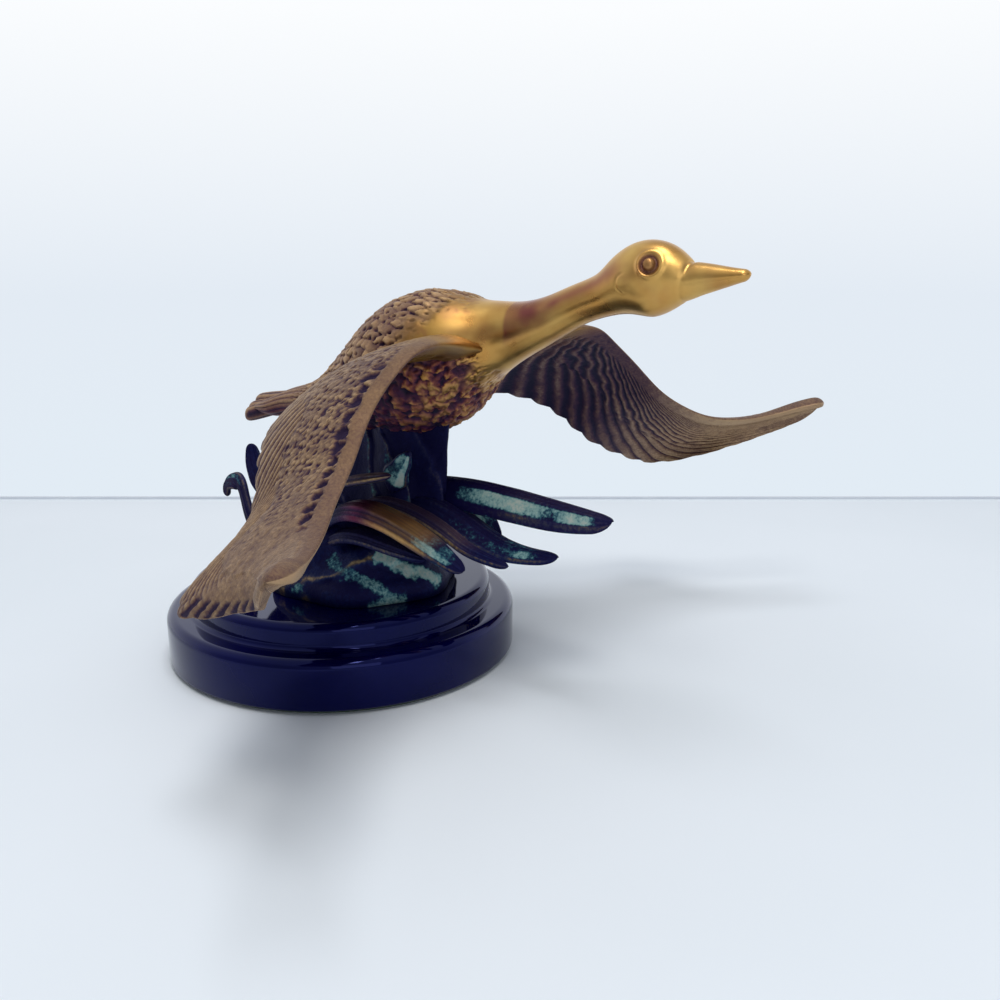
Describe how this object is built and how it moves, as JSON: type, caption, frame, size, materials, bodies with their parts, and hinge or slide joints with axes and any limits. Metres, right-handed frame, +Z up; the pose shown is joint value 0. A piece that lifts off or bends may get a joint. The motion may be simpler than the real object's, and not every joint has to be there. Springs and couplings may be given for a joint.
{
  "type": "flying goose figurine",
  "caption": "Cast brass goose in flight above a clump of reeds, standing on a round stepped black base with a felt underside.",
  "frame": {"origin": "centre of the felt's underside, on the surface that the ornament stands on", "axes": "+X the way the goose flies, +Y to its left, +Z up"},
  "size_m": [0.1931, 0.2558, 0.1335],
  "materials": {
    "felt": "short green baize",
    "base_lacquer": "turned wood under black gloss lacquer",
    "fixing_steel": "zinc plated",
    "mound_patina": "dark blue-green patina on a rough casting",
    "reed_patina": "dark green patina with rubbed edges",
    "plumage_patina": "brown patina, rubbed bright on the feather tips",
    "wing_patina": "grey-brown patina, rubbed on the ridges",
    "polished_brass": "polished by hand"
  },
  "bodies": {
    "root": {"felt_pad": "felt", "base_plinth": "base_lacquer", "base_washer": "fixing_steel", "base_nut": "fixing_steel", "base_stud": "fixing_steel", "locating_dowel": "fixing_steel", "belly_pin": "fixing_steel", "neck_pin": "fixing_steel", "wing_pin_left": "fixing_steel", "wing_pin_right": "fixing_steel", "reed_mound": "mound_patina", "reed_stalk": "mound_patina", "reed_forward_long": "reed_patina", "reed_forward_broad": "reed_patina", "reed_forward_slim": "reed_patina", "reed_near_arched": "reed_patina", "reed_near_low": "reed_patina", "reed_drooping": "reed_patina", "leaf_under_belly": "reed_patina", "sprig_near": "reed_patina", "reed_rear_upright": "reed_patina", "reed_rear_curled": "reed_patina", "reed_rear_long": "reed_patina", "reed_far_arched": "reed_patina", "reed_far_broad": "reed_patina", "reed_far_low": "reed_patina", "goose_body": "plumage_patina", "wing_left": "wing_patina", "wing_right": "wing_patina", "head_and_neck": "polished_brass"}
  },
  "joints": []
}
